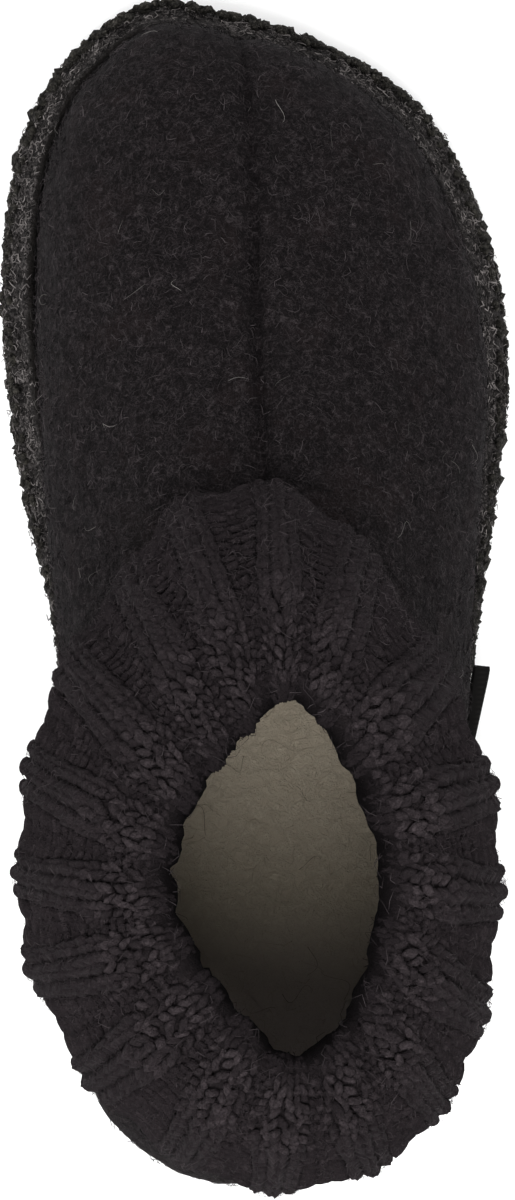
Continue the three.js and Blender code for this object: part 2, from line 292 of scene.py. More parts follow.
class Finish:
    """A material in the making, on one Principled shader."""

    def __init__(self, name):
        self.material = bpy.data.materials.new(name)
        self.material.use_nodes = True
        self.tree = self.material.node_tree
        self.shader = self.tree.nodes["Principled BSDF"]

    def feed(self, socket, value):
        if isinstance(value, Value):
            self.tree.links.new(value.socket, socket)
        else:
            socket.default_value = value

    def node(self, kind, settings, sockets, output=0):
        node = self.tree.nodes.new(kind)
        for key, value in settings.items():
            setattr(node, key, value)
        for key, value in sockets.items():
            self.feed(node.inputs[key], value)
        return Value(self, node.outputs[output])

    def place(self):
        return self.node("ShaderNodeTexCoord", {}, {}, "Object")

    def tone(self):
        """The shade given to each point of the mesh."""
        return self.node("ShaderNodeAttribute", {"attribute_name": "tone"}, {}, "Fac")

    def cloud(self, scale, detail=3.0, roughness=0.55, distortion=0.0):
        sockets = {"Vector": self.place(), "Scale": scale, "Detail": detail}
        sockets.update({"Roughness": roughness, "Distortion": distortion})
        return self.node("ShaderNodeTexNoise", {}, sockets)

    def wisps(self, scale, width):
        """Thin curling lines."""
        off = self.cloud(scale, 2.0, 0.5, 0.7) - 0.5
        return 1 - self.between(off.sum("ABSOLUTE", off, 0.0), 0.0, width)

    def between(self, value, low, high, start=0.0, end=1.0):
        sockets = {"Value": value, "From Min": low, "From Max": high, "To Min": start, "To Max": end}
        return self.node("ShaderNodeMapRange", {"interpolation_type": "SMOOTHSTEP"}, sockets)

    def mix(self, part, first, second):
        return self.node("ShaderNodeMix", {"data_type": "RGBA"}, {0: part, 6: first, 7: second}, 2)

    def bump(self, height, strength, distance):
        sockets = {"Height": height, "Strength": strength, "Distance": distance}
        return self.node("ShaderNodeBump", {}, sockets)

    def done(self, **sockets):
        for key, value in sockets.items():
            self.feed(self.shader.inputs[key.replace("_", " ")], value)
        return self.material


def colour(red, green, blue):
    return (red, green, blue, 1.0)


def felt_finish(name, deep, raised, warm, pale, curl=0.5, depth=0.7 * MM, shade=None):
    """Felted wool: matted and mottled, with curling hairs and warmer patches; where tone is 0 it takes the
    shade colour instead, painted shade on the cuff's backing and painted light on the insole's heel.
    """
    finish = Finish(name)
    mottle = finish.between(finish.cloud(680, 5.0, 0.7, 0.6), 0.34, 0.68)
    curls_seen = finish.wisps(400, 0.024) + finish.wisps(740, 0.034) + finish.wisps(1200, 0.045)
    hairs = curls_seen * (0.3 + mottle * 0.7)
    patches = finish.between(finish.cloud(120, 2.0), 0.5, 0.72, 0.0, 0.6)
    wool = finish.mix(hairs * curl, finish.mix(patches, finish.mix(mottle, deep, raised), warm), pale)
    return finish.done(
        Base_Color=finish.mix(finish.tone(), shade, wool) if shade else wool,
        Roughness=0.96 - mottle * 0.08,
        Normal=finish.bump(mottle + hairs * 0.5, 0.9, depth),
        Specular_IOR_Level=0.05,
    )


def strand_finish(name, deep, pale):
    """Loose wool, shaded strand by strand."""
    finish = Finish(name)
    tone = finish.tone()
    fleck = finish.cloud(900, 2.0)
    return finish.done(
        Base_Color=finish.mix(tone * (0.7 + fleck * 0.6), deep, pale),
        Roughness=0.8 + fleck * 0.15,
        Specular_IOR_Level=0.1,
    )


def yarn_finish(name, deep, pale):
    """Knitting yarn: stitch by stitch in tone, with fine plies along it."""
    finish = Finish(name)
    tone = finish.tone()
    plies = finish.between(finish.cloud(1900, 3.0, 0.65, 0.8), 0.33, 0.67)
    hairs = finish.wisps(700, 0.04) + finish.wisps(1300, 0.05)
    return finish.done(
        Base_Color=finish.mix(tone * (0.2 + plies * 1.15) + hairs * 0.2, deep, pale),
        Roughness=0.96 - plies * 0.06,
        Normal=finish.bump(plies + hairs * 0.8, 0.8, 0.3 * MM),
        Specular_IOR_Level=0.05,
    )


def speckled_finish(name, deep, middle, pale, salt, depth, shade=None):
    """Coarse loops or pebbles, dark between and flecked with pale; painted shade in the shade colour where
    tone is 0.
    """
    finish = Finish(name)
    grain = finish.between(finish.cloud(1100, 4.0, 0.7, 0.4), 0.36, 0.66)
    flecks = finish.between(finish.cloud(2100, 3.0, 0.6, 0.3), 0.5, 0.68)
    patches = finish.between(finish.cloud(160, 2.0), 0.4, 0.65, 0.35, 1.0)
    speckle = finish.mix(flecks * patches * salt, finish.mix(grain, deep, middle), pale)
    return finish.done(
        Base_Color=finish.mix(finish.tone(), shade, speckle) if shade else speckle,
        Roughness=0.92 - grain * 0.1,
        Normal=finish.bump(grain + flecks * 0.5, 0.9, depth),
        Specular_IOR_Level=0.1,
    )


def ribbon_finish(name, deep, pale):
    """Close plain weave of the side loop."""
    finish = Finish(name)
    sockets = {"Vector": finish.place(), "Scale": 420.0, "Distortion": 0.4}
    warp = finish.node("ShaderNodeTexWave", {"bands_direction": "Y"}, sockets)
    weft = finish.node("ShaderNodeTexWave", {"bands_direction": "Z"}, sockets)
    weave = warp * weft
    fade = finish.cloud(500, 3.0)
    return finish.done(
        Base_Color=finish.mix(weave * fade, deep, pale),
        Roughness=0.7 + fade * 0.2,
        Normal=finish.bump(weave, 0.6, 0.15 * MM),
        Specular_IOR_Level=0.1,
    )


def floor_finish(name):
    """Plain pale paint, lit a little from within so that it stays white near the slipper."""
    finish = Finish(name)
    haze = finish.cloud(3.0, 2.0)
    return finish.done(
        Base_Color=finish.mix(haze, colour(0.9, 0.9, 0.9), colour(0.93, 0.93, 0.93)),
        Roughness=0.85 + haze * 0.1,
        Specular_IOR_Level=0.1,
        Emission_Color=colour(1.0, 1.0, 1.0),
        Emission_Strength=0.12,
    )


UPPER_FELT = felt_finish(
    "upper_felt",
    deep=colour(0.0042, 0.0034, 0.0037),
    raised=colour(0.0108, 0.0086, 0.0093),
    warm=colour(0.0115, 0.008, 0.0082),
    pale=colour(0.0525, 0.0442, 0.0468),
    curl=0.55,
)
UPPER_STRANDS = strand_finish(
    "upper_strands",
    deep=colour(0.00276, 0.00221, 0.00243),
    pale=colour(0.056, 0.0475, 0.0502),
)
STRAY_HAIR = strand_finish(
    "stray_hair",
    deep=colour(0.00828, 0.00759, 0.00759),
    pale=colour(0.19, 0.178, 0.17),
)
# Painted light: the backing is paler than the yarn, so that the gaps between the stitches don't fall dark
CUFF_BACKING = felt_finish(
    "cuff_backing",
    deep=colour(0.0164, 0.0131, 0.0143),
    raised=colour(0.0313, 0.0254, 0.0274),
    warm=colour(0.0262, 0.0207, 0.0219),
    pale=colour(0.0345, 0.0282, 0.0303),
    # painted shade where the backing lines the mouth
    shade=colour(0.004, 0.003, 0.0034),
)
CUFF_YARN = yarn_finish(
    "cuff_yarn",
    deep=colour(0.0112, 0.0088, 0.0098),
    pale=colour(0.0418, 0.0338, 0.0366),
)
CUFF_FUZZ = strand_finish(
    "cuff_fuzz",
    deep=colour(0.012, 0.0098, 0.0108),
    pale=colour(0.06, 0.05, 0.0535),
)
BAND_WOOL = speckled_finish(
    "band_wool",
    deep=colour(0.00414, 0.00359, 0.00345),
    middle=colour(0.0405, 0.0362, 0.0357),
    pale=colour(0.235, 0.213, 0.208),
    salt=0.8,
    depth=0.6 * MM,
    # painted shade in the groove beside the felt
    shade=colour(0.0095, 0.0081, 0.0074),
)
BAND_LOOPS = strand_finish(
    "band_loops",
    deep=colour(0.00621, 0.00552, 0.00538),
    pale=colour(0.205, 0.187, 0.182),
)
SOLE_EDGE = speckled_finish(
    "sole_edge",
    deep=colour(0.00414, 0.00386, 0.00331),
    middle=colour(0.0365, 0.0337, 0.0285),
    pale=colour(0.159, 0.147, 0.131),
    salt=0.6,
    depth=0.6 * MM,
)
SOLE_RUBBER = speckled_finish(
    "sole_rubber",
    deep=colour(0.00414, 0.00386, 0.00331),
    middle=colour(0.0207, 0.0193, 0.0159),
    pale=colour(0.0483, 0.0455, 0.0386),
    salt=0.4,
    depth=0.35 * MM,
)
INSOLE_FELT = felt_finish(
    "insole_felt",
    deep=colour(0.359, 0.31, 0.238),
    raised=colour(0.421, 0.366, 0.283),
    warm=colour(0.386, 0.331, 0.252),
    pale=colour(0.469, 0.414, 0.328),
    curl=0.3,
    depth=0.2 * MM,
    # painted light: paler and greyer at the heel end, where the insole lies in shade
    shade=colour(0.46, 0.395, 0.355),
)
INSOLE_STRANDS = strand_finish(
    "insole_strands",
    deep=colour(0.31, 0.269, 0.207),
    pale=colour(0.497, 0.442, 0.345),
)
INSOLE_DARK_HAIR = strand_finish(
    "insole_dark_hair",
    deep=colour(0.0414, 0.0345, 0.0276),
    pale=colour(0.172, 0.145, 0.11),
)
TAB_RIBBON = ribbon_finish(
    "tab_ribbon",
    deep=colour(0.0018, 0.0016, 0.0014),
    pale=colour(0.0086, 0.0078, 0.0068),
)
FLOOR_PAINT = floor_finish("floor_paint")


def unit(vectors):
    return vectors / np.maximum(np.linalg.norm(vectors, axis=-1, keepdims=True), 1e-12)


def eased(value, low, high):
    """0 below low, 1 above high, and a smooth rise between."""
    share = np.clip((value - low) / (high - low), 0, 1)
    return share * share * (3 - 2 * share)


def show(name, mesh, material, replaces=None):
    """A finished piece of the slipper, riding on its one body."""
    piece = bpy.data.objects.new(name, mesh)
    bpy.context.scene.collection.objects.link(piece)
    mesh.materials.clear()
    mesh.materials.append(material)
    mesh.polygons.foreach_set("use_smooth", np.ones(len(mesh.polygons), bool))
    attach(piece, "root")
    if replaces:
        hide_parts(replaces)


def merged(node):
    """The bmesh of a CAD node's copy, its triangles joined up."""
    shell = bmesh.new()
    shell.from_mesh(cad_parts[node].data)
    bmesh.ops.remove_doubles(shell, verts=shell.verts, dist=MERGE)
    return shell


def with_modifier(shell, kind, **settings):
    """The mesh that a modifier makes of a bmesh, which is used up."""
    mesh = bpy.data.meshes.new("draft")
    shell.to_mesh(mesh)
    shell.free()
    draft = bpy.data.objects.new("draft", mesh)
    bpy.context.scene.collection.objects.link(draft)
    modifier = draft.modifiers.new("shape", kind)
    for key, value in settings.items():
        setattr(modifier, key, value)
    bpy.context.view_layer.update()
    graph = bpy.context.evaluated_depsgraph_get()
    made = bpy.data.meshes.new_from_object(draft.evaluated_get(graph))
    bpy.data.objects.remove(draft)
    return made


def rounded(node, levels=2):
    """A CAD node's copy as a smooth, finer mesh."""
    shell = merged(node)
    bmesh.ops.join_triangles(
        shell,
        faces=shell.faces,
        angle_face_threshold=pi,
        angle_shape_threshold=pi,
        topology_influence=1.0,
    )
    return with_modifier(shell, "SUBSURF", levels=levels, render_levels=levels)


def even(node, size):
    """A CAD node's copy as a mesh of even squares."""
    return with_modifier(merged(node), "REMESH", mode="VOXEL", voxel_size=size)


def points_of(mesh, what="co"):
    values = np.empty(len(mesh.vertices) * 3)
    mesh.vertices.foreach_get(what, values)
    return values.reshape(-1, 3)


def swell(mesh, amount):
    """Moves each vertex along its normal by amount(points, normals)."""
    points = points_of(mesh)
    normals = points_of(mesh, "normal")
    moved = points + normals * amount(points, normals)[:, None]
    mesh.vertices.foreach_set("co", moved.ravel())
    mesh.update()


def clouds(points, scales):
    """Soft noise at each point, as the sum over (scale, height) pairs."""
    total = np.zeros(len(points))
    for scale, height in scales:
        total += height * np.array([noise.noise(Vector(point * scale)) for point in points])
    return total


def tree_of(mesh):
    shell = bmesh.new()
    shell.from_mesh(mesh)
    tree = BVHTree.FromBMesh(shell)
    shell.free()
    return tree


def scatter(mesh, count, keep):
    """Points and normals spread over a mesh, as thickly as keep(points, normals) says."""
    centres = np.empty(len(mesh.polygons) * 3)
    normals = np.empty(len(mesh.polygons) * 3)
    areas = np.empty(len(mesh.polygons))
    mesh.polygons.foreach_get("center", centres)
    mesh.polygons.foreach_get("normal", normals)
    mesh.polygons.foreach_get("area", areas)
    centres = centres.reshape(-1, 3)
    normals = normals.reshape(-1, 3)
    weight = areas * keep(centres, normals)
    chosen = RANDOM.choice(len(areas), count, p=weight / weight.sum())
    spread = np.sqrt(areas[chosen])[:, None] * RANDOM.uniform(-HAIR_SPREAD, HAIR_SPREAD, (count, 3))
    spread -= normals[chosen] * np.sum(spread * normals[chosen], axis=1, keepdims=True)
    return centres[chosen] + spread, normals[chosen]


def clear_of(trees, points, normals, reach=FELT_ROOM):
    """Whether nothing stands within reach in front of each point."""
    free = np.ones(len(points), bool)
    for place, (point, normal) in enumerate(zip(points, normals)):
        start = Vector(point) + Vector(normal) * CLEAR_START
        free[place] = all(tree.ray_cast(start, Vector(normal), reach)[0] is None for tree in trees)
    return free


def give_tones(mesh, tones):
    """Sets the shade of each of a mesh's points."""
    shade = mesh.attributes.new("tone", "FLOAT", "POINT")
    shade.data.foreach_set("value", tones.astype(np.float32))


def tubes(name, paths, radii, upwards, sides, tones):
    """Closed strands along paths [strand, point, xyz], with radii and tones for each of their points."""
    strands, steps = paths.shape[:2]
    ahead = unit(np.gradient(paths, axis=1))
    aside = unit(np.cross(ahead, upwards[:, None, :]))
    above = np.cross(aside, ahead)
    angles = np.arange(sides) * 2 * pi / sides
    ring = aside[:, :, None, :] * np.cos(angles)[:, None] + above[:, :, None, :] * np.sin(angles)[:, None]
    points = paths[:, :, None, :] + ring * radii[:, :, None, None]
    index = np.arange(strands * steps * sides).reshape(strands, steps, sides)
    turned = np.roll(index, -1, axis=2)
    walls = np.stack([index[:, :-1], index[:, 1:], turned[:, 1:], turned[:, :-1]], axis=-1).reshape(-1, 4)
    ends = np.concatenate([index[:, 0], index[:, -1, ::-1]])
    mesh = bpy.data.meshes.new(name)
    mesh.from_pydata(points.reshape(-1, 3), [], walls.tolist() + ends.tolist())
    give_tones(mesh, np.repeat(tones.ravel(), sides))
    return mesh


def curls(points, normals, lengths, rises, waves, steps):
    """Paths of loose hairs: each leaves its root flat along the surface, bends and lifts a little."""
    count = len(points)
    turn = RANDOM.uniform(0, 2 * pi, count)
    first = unit(np.cross(normals, SKEW))
    second = np.cross(normals, first)
    along = first * np.cos(turn)[:, None] + second * np.sin(turn)[:, None]
    aside = np.cross(normals, along)
    t = np.linspace(0, 1, steps)
    phase = RANDOM.uniform(0, 2 * pi, count)[:, None]
    sway = (np.sin(waves[:, None] * t * pi + phase) - np.sin(phase)) * HAIR_SWAY * lengths[:, None]
    height = rises[:, None] * np.sin(t * pi * RANDOM.uniform(*HAIR_ARCS, (count, 1)))
    run = t * lengths[:, None]
    return (
        points[:, None, :]
        + along[:, None, :] * run[:, :, None]
        + aside[:, None, :] * sway[:, :, None]
        + normals[:, None, :] * height[:, :, None]
    )


def fleece(name, mesh, keep, count, length, rise, radius, waves, steps=4, pale=2.2):
    """Hairs over a surface; the higher pale is, the fewer of them are pale."""
    points, normals = scatter(mesh, count, keep)
    lengths = length * RANDOM.uniform(*HAIR_LENGTHS, count)
    rises = rise * RANDOM.uniform(*HAIR_RISES, count)
    sways = RANDOM.uniform(*waves, count)
    paths = curls(points, normals, lengths, rises, sways, steps)
    taper = np.linspace(1.0, HAIR_TIP, steps)
    radii = radius * RANDOM.uniform(*HAIR_GIRTHS, (count, 1)) * taper
    tones = np.repeat(RANDOM.uniform(0, 1, (count, 1)) ** pale, steps, axis=1)
    return tubes(name, paths, radii, normals, HAIR_SIDES, tones)


def fan(corner):
    """Each neighbour of a corner, and the next one round it."""
    return {loop.link_loop_next.vert: loop.link_loop_prev.vert for loop in corner.link_loops}


def straight(start, ahead):
    """The corners met by going straight on over a ring-shaped mesh of triangles, back to the start."""
    path = [start]
    here = start
    while ahead != start:
        path.append(ahead)
        turn = fan(ahead)
        here, ahead = ahead, turn[turn[turn[here]]]
    return path


def run_of(corners):
    """How long the way along some corners is."""
    return sum((a.co - b.co).length for a, b in zip(corners, corners[1:]))


def rows_of(node):
    """Points of a ring-shaped CAD node [row, column, xyz]: rows go up its outside, columns round it."""
    shell = merged(node)
    start = min(shell.verts, key=lambda corner: corner.co.y)
    lines = {ahead: straight(start, ahead) for ahead in fan(start)}
    upward = min(lines, key=lambda ahead: len(lines[ahead]))
    section = lines[upward]
    columns = len(shell.verts) // len(section)
    rounds = [ahead for ahead in lines if len(lines[ahead]) == columns]
    around = min(rounds, key=lambda ahead: run_of(lines[ahead]))
    turns = 0
    side = upward
    while side != around:
        side = fan(start)[side]
        turns += 1
    rows = []
    for corner, following in zip(section, section[1:] + section[:1]):
        side = following
        for _ in range(turns):
            side = fan(corner)[side]
        rows.append([tuple(met.co) for met in straight(corner, side)])
    shell.free()
    grid = np.array(rows)
    x, y = grid[0, :, 0], grid[0, :, 1]
    if np.sum(x * np.roll(y, -1) - y * np.roll(x, -1)) < 0:
        grid = np.roll(grid[:, ::-1], 1, axis=1)
    heights = grid[:, :, 2].mean(axis=1)
    breadth = np.ptp(grid[:, :, 0], axis=1)
    low_rows = np.flatnonzero(heights < heights.min() + ROW_SLACK)
    lowest = max(low_rows, key=lambda row: breadth[row])
    grid = np.roll(grid, -lowest, axis=0)
    if grid[1, :, 2].mean() < grid[-1, :, 2].mean():
        grid = np.roll(grid[::-1], 1, axis=0)
    return grid


def spline_shares(t):
    """What each of four points in a line gives to a point between the middle two."""
    shares = [((2 - t) * t - 1) * t, (3 * t - 5) * t * t + 2, ((4 - 3 * t) * t + 1) * t, (t - 1) * t * t]
    return [share / 2 for share in shares]


def on_rows(grid, row, column):
    """Points between a grid's rows and columns, on a smooth surface through them."""
    first_row = np.floor(row).astype(int)
    first_column = np.floor(column).astype(int)
    total = 0
    for step, row_share in enumerate(spline_shares(row - first_row), -1):
        rows = np.clip(first_row + step, 0, len(grid) - 1)
        for move, column_share in enumerate(spline_shares(column - first_column), -1):
            columns = (first_column + move) % grid.shape[1]
            total = total + (row_share * column_share)[..., None] * grid[rows, columns]
    return total


def frame_on(grid, row, column, step=0.08):
    """Point, direction round the foot, direction up the rows and outward normal."""
    around = unit(on_rows(grid, row, column + step) - on_rows(grid, row, column - step))
    upward = unit(on_rows(grid, row + step, column) - on_rows(grid, row - step, column))
    outward = unit(np.cross(around, upward))
    return on_rows(grid, row, column), around, np.cross(outward, around), outward


# Upper: felt with lumps, and a pressed seam down the middle of the vamp
upper_rows = rows_of("upper")
collar_row = int(np.argmax(upper_rows[:, :, 2].mean(axis=1)))
seam_column = int(np.argmax(upper_rows[collar_row, :, 1]))
seam_line = upper_rows[: collar_row + 1, seam_column]
seam_order = np.argsort(seam_line[:, 1])


def from_seam(points):
    """How far each point is to the outer side of the vamp's seam."""
    line = np.interp(points[:, 1], seam_line[seam_order, 1], seam_line[seam_order, 0])
    return points[:, 0] - line - SEAM_SHIFT * eased(points[:, 1], *SEAM_SHIFT_FROM)


def felt_relief(points, normals):
    x, y, z = points.T
    aside = from_seam(points)
    on_vamp = (y > seam_line[:, 1].min() + SEAM_END) & (normals[:, 2] > SEAM_FACING)
    waves = np.sin(y * 2 * pi / SEAM_PUCKER)
    pucker = 1 + SEAM_PUCKER_SHARE * waves * np.sin(y * SEAM_PUCKER_BEAT)
    trough = -SEAM_DEPTH * np.exp(-((aside / SEAM_HALF) ** 2))
    ridges = SEAM_RIDGE * pucker * np.exp(-(((np.abs(aside) - SEAM_RIDGE_AT) / SEAM_RIDGE_HALF) ** 2))
    start = SEAM_START_SHARE + (1 - SEAM_START_SHARE) * eased(y, *SEAM_START)
    fade = start * (1 - SEAM_FADE_SHARE * eased(y, *SEAM_FADE))
    tuck = -FELT_TUCK * (1 - eased(z, *FELT_TUCK_HEIGHTS))
    outer = eased(x, *OUTER_TUCK_ACROSS) * eased(y, *OUTER_TUCK_ALONG)
    tuck = tuck - OUTER_TUCK * outer * (1 - eased(z, *OUTER_TUCK_HEIGHTS))
    return clouds(points, FELT_LUMPS) + tuck + on_vamp * fade * (trough + ridges)


felt_mesh = rounded("upper")
swell(felt_mesh, felt_relief)
show("felt_upper", felt_mesh, UPPER_FELT, "upper")
felt_tree = tree_of(felt_mesh)
cuff_tree = tree_of(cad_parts["cuff"].data)


def felt_outside(points, normals):
    """Where the felt has hairs, thicker down its sides in front than on top, and thinner at the back."""
    off_seam = (np.abs(from_seam(points)) > SEAM_BARE) | (points[:, 1] < seam_line[:, 1].min())
    steep = 1 - np.clip(normals[:, 2], 0, 1)
    thick = np.where(points[:, 1] > NAP_FRONT, NAP_ON_TOP + NAP_ON_SIDES * steep, NAP_AT_BACK)
    open_felt = clear_of((felt_tree, cuff_tree), points, normals) * (points[:, 2] > NAP_LOWEST)
    return open_felt * off_seam * thick


for name in ("felt_nap_low", "felt_nap_high"):
    show(name, fleece(name, felt_mesh, felt_outside, **FELT_NAP), UPPER_STRANDS)
stray_hairs = fleece("felt_stray_hairs", felt_mesh, felt_outside, **STRAY)
show("felt_stray_hairs", stray_hairs, STRAY_HAIR)

# Cuff: a dark backing with every knit and purl stitch on it
cuff_rows = rows_of("cuff")
visible_rows = len(cuff_rows) // 2
cuff_columns = cuff_rows.shape[1]
ribs = cuff_columns // WALES_PER_RIB


def standing_out(start):
    """How far the edge of the leaf stands out, taken at one column of every rib."""
    steps = cuff_rows[0, start::WALES_PER_RIB] - cuff_rows[0].mean(axis=0)
    return np.linalg.norm(steps[:, :2], axis=1).mean()


rib_start = max(range(WALES_PER_RIB), key=standing_out)


def course_rows(columns, courses):
    """The row coordinate of each course on each column, courses being evenly spaced up the knit."""
    fine = np.linspace(0, visible_rows - 1, COURSE_SAMPLES)
    rows = np.empty((len(columns), len(courses)))
    for place, column in enumerate(columns):
        path = on_rows(cuff_rows, fine, np.full(len(fine), column))
        run = np.concatenate([[0], np.cumsum(np.linalg.norm(np.diff(path, axis=0), axis=1))])
        rows[place] = np.interp(courses * run[-1], run, fine)
    return rows


def wales(purl):
    """Row, column and wale width of every stitch in the knit or the purl wales of each rib."""
    courses = (np.arange(COURSES) + 0.5) / COURSES * COURSES_END
    middles = rib_start + WALES_PER_RIB * np.arange(ribs, dtype=float)
    row = course_rows(middles, courses)
    middle = np.repeat(middles[:, None], COURSES, 1)
    half = WALES_PER_RIB / 2
    here, left, right = (on_rows(cuff_rows, row, middle + step) for step in (0, -half, half))
    rib_width = np.linalg.norm(here - left, axis=-1) + np.linalg.norm(right - here, axis=-1)
    spread = KNIT_SPREAD[0] + (KNIT_SPREAD[1] - KNIT_SPREAD[0]) * eased(row, *SPREAD_ROWS)
    if purl:
        spread = 2 - spread
        middle = middle + half
    columns = np.stack([middle + step * spread for step in WALE_STEPS])
    rows = np.broadcast_to(row, columns.shape)
    widths = np.broadcast_to(spread * rib_width / WALES_PER_RIB, columns.shape)
    return rows.ravel(), columns.ravel(), widths.ravel()


def fold_share(row, points):
    """1 on the fold, where the knit is pulled open, falling to 0 inside and on the leaf."""
    lower = FOLD_BACK_ROWS * (1 - eased(points[:, 1], *FOLD_BACK))
    off = row - FOLD_ROW
    return np.exp(-(np.where(off < 0, np.minimum(off + lower, 0), off) / FOLD_ROWS) ** 2)


def with_fold(pair, fold):
    """A measure on the leaf, with what the fold adds to it."""
    return pair[0] + pair[1] * fold


def leaf_share(row):
    """1 on the hanging leaf, falling to 0 on the fold."""
    return 1 - eased(row, *LEAF_ROWS)


def inside_share(row):
    """0 on the fold, rising to 1 down inside the mouth."""
    return eased(row, *MOUTH_ROWS)


def backing_inside(points, normals):
    """1 where the backing lines the mouth, from the nearest points on the visible side of the cuff."""
    row, column = (part.ravel() for part in np.indices((visible_rows, cuff_columns)).astype(float))
    corners, _, _, outward = frame_on(cuff_rows, row, column)
    tree = KDTree(len(corners))
    for place, corner in enumerate(corners):
        tree.insert(corner, place)
    tree.balance()
    nearest = [tree.find_n(point, BACKING_NEIGHBOURS) for point in points]
    found = np.array([[(place, gap) for _, place, gap in near] for near in nearest])
    places = found[:, :, 0].astype(int)
    nearness = 1 / (found[:, :, 1] + MERGE)
    near_row = np.sum(row[places] * nearness, axis=1) / np.sum(nearness, axis=1)
    facing = np.sum(outward[places[:, 0]] * normals, axis=1) > 0
    return inside_share(near_row) * facing


def backing_relief(points, normals):
    sink = BACKING_SINK * eased(points[:, 2], *BACKING_HEIGHTS)
    lining = backing_inside(points, normals) * (MOUTH_RISE + clouds(points, MOUTH_LUMPS))
    return lining - sink + clouds(points, BACKING_LUMPS)


backing_mesh = rounded("cuff", 1)
# Painted shade: tone falls to 0 where the backing lines the mouth, which the finish paints in its dark
# shade colour
give_tones(backing_mesh, 1 - backing_inside(points_of(backing_mesh), points_of(backing_mesh, "normal")))
swell(backing_mesh, backing_relief)
show("cuff_backing", backing_mesh, CUFF_BACKING, "cuff")


def stitch_tones(row, points, t):
    """Painted light on the fold, painted shade down inside the mouth and towards a stitch's ends, and
    uneven from stitch to stitch.
    """
    fold = fold_share(row, points)
    inside = inside_share(row)
    # painted light on the fold, painted shade down inside the mouth
    plain = with_fold(TONE_PLAIN_AND_FOLD_LIGHT, fold) * (1 - PAINTED_SHADE_INSIDE * inside)
    # painted highlights: a few bright stitches on the fold
    bright = PAINTED_LIGHT_ON_FOLD * fold * (1 - inside) * RANDOM.uniform(0, 1, len(row)) ** TONE_RARITY
    # painted shade towards each stitch's ends
    ends = 1 - with_fold(PAINTED_SHADE_AT_ENDS, fold[:, None]) * 4 * t**2
    uneven = np.clip(RANDOM.normal(1, TONE_UNEVEN, len(row)), *TONE_LIMITS)
    return (plain * uneven)[:, None] + bright[:, None] * ends


def laid(places, across, along, lift):
    """Paths on the knit: steps round, up and out from each stitch's place."""
    point, around, upward, outward = places
    return (
        point[:, None, :]
        + around[:, None, :] * across[:, :, None]
        + upward[:, None, :] * along[:, :, None]
        + outward[:, None, :] * lift[:, :, None]
    )


def knit_stitches():
    """Both legs of each knit stitch, as in a V."""
    row, column, width = wales(purl=False)
    places = frame_on(cuff_rows, row, column)
    count = len(row)
    fold = fold_share(row, places[0])[:, None]
    leaf = leaf_share(row)[:, None]
    inside = inside_share(row)[:, None]
    t = np.linspace(-0.5, 0.5, len(LEAF_LEG))
    legs = []
    for side in (-1, 1):
        lean = RANDOM.normal(0, with_fold(LEG_LEAN, fold)) * width[:, None]
        across = side * width[:, None] * (with_fold(LEG_OUT, fold) - with_fold(LEG_SLOPE, fold) * t) + lean
        along = t * COURSE * with_fold(LEG_LENGTH, fold) * RANDOM.normal(1, LEG_UNEVEN, (count, 1))
        along = along + RANDOM.normal(0, with_fold(LEG_SLIP, fold))
        crown = with_fold(LEG_CROWN, fold) * MM * (1 - 4 * t**2)
        level = STITCH_LEVEL - LEAF_KNIT_SINK * leaf - MOUTH_SINK * inside
        lift = level + crown + RANDOM.normal(0, with_fold(LEG_ROUGH, fold))
        legs.append(laid(places, across, along, lift))
    paths = np.concatenate(legs)
    paths += RANDOM.normal(0, LEG_WAVER, paths.shape)
    shape = LEAF_LEG + (FOLD_LEG - LEAF_LEG) * fold
    girth = with_fold(LEG_GIRTH, fold) * width[:, None] * shape
    radii = np.concatenate([girth, girth]) * RANDOM.normal(1, LEG_UNEVEN, (2 * count, len(t)))
    tones = np.concatenate([stitch_tones(row, places[0], t), stitch_tones(row, places[0], t)])
    outward = np.concatenate([places[3], places[3]])
    return tubes("knit_stitches", paths, radii, outward, STITCH_SIDES, tones)


def purl_stitches():
    """The bar of each purl stitch, set back between the ribs and close to the next."""
    row, column, width = wales(purl=True)
    places = frame_on(cuff_rows, row, column)
    count = len(row)
    t = np.linspace(-0.5, 0.5, len(PURL_BAR))
    across = t * width[:, None] * RANDOM.normal(*PURL_BREADTH, (count, 1))
    arch = (PURL_ARCH[0] - PURL_ARCH[1] * t**2) * MM
    along = arch + RANDOM.normal(0, PURL_SLIP, (count, 1))
    along = along + t * RANDOM.normal(0, PURL_SLANT, (count, 1))
    crown = PURL_CROWN * (1 - 4 * t**2)
    level = STITCH_LEVEL + LEAF_PURL_RISE * leaf_share(row) - MOUTH_SINK * inside_share(row)
    lift = level[:, None] + crown + RANDOM.normal(0, PURL_ROUGH, (count, 1))
    paths = laid(places, across, along, lift)
    radii = PURL_RADIUS * PURL_BAR * RANDOM.uniform(*PURL_GIRTHS, (count, 1))
    fold = fold_share(row, places[0])[:, None]
    # painted shade on the purl bars over the fold
    tones = stitch_tones(row, places[0], t) * (1 - PURL_FOLD_SHADE * fold)
    tones *= RANDOM.uniform(*PURL_TONES, (count, 1))
    return tubes("purl_stitches", paths, radii, places[3], STITCH_SIDES, tones)


